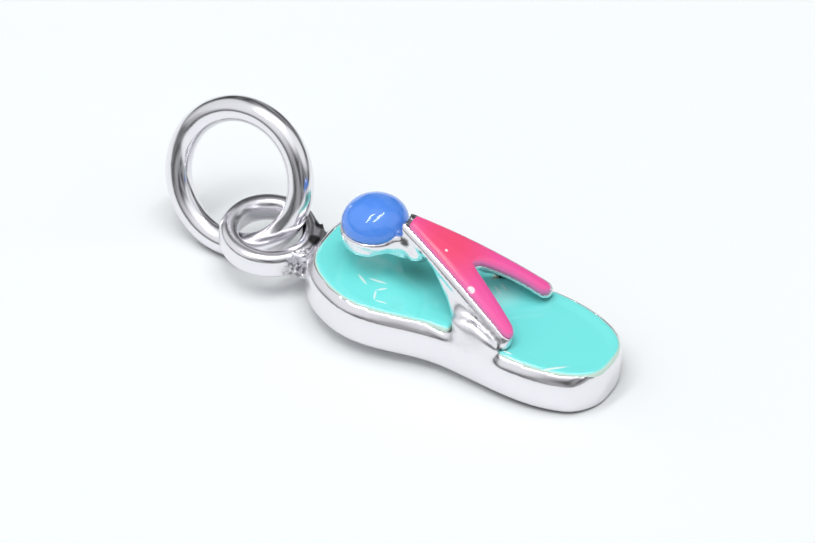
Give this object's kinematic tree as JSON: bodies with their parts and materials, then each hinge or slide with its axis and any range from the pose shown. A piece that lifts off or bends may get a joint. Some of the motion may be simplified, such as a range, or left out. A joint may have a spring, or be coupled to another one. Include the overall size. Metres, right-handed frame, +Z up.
{
  "type": "flip-flop pendant",
  "caption": "Small polished silver sandal pendant with an enamelled footbed, thong strap and bead, hung by its fixed eye on a round jump ring.",
  "frame": {"origin": "centre of the bounding box in plan, on the surface that the pendant lies on", "axes": "+X from the jump ring past the toe to the heel, +Y across the sandal to its far side, +Z up"},
  "size_m": [0.0204, 0.0062, 0.006],
  "materials": {
    "silver": "polished sterling silver",
    "turquoise_enamel": "glossy fused enamel",
    "pink_enamel": "glossy fused enamel",
    "blue_enamel": "glossy fused enamel"
  },
  "bodies": {
    "root": {"casting": "silver", "footbed_enamel": "turquoise_enamel", "strap_enamel": "pink_enamel", "bead_enamel": "blue_enamel", "jump_ring": "silver"}
  },
  "joints": []
}
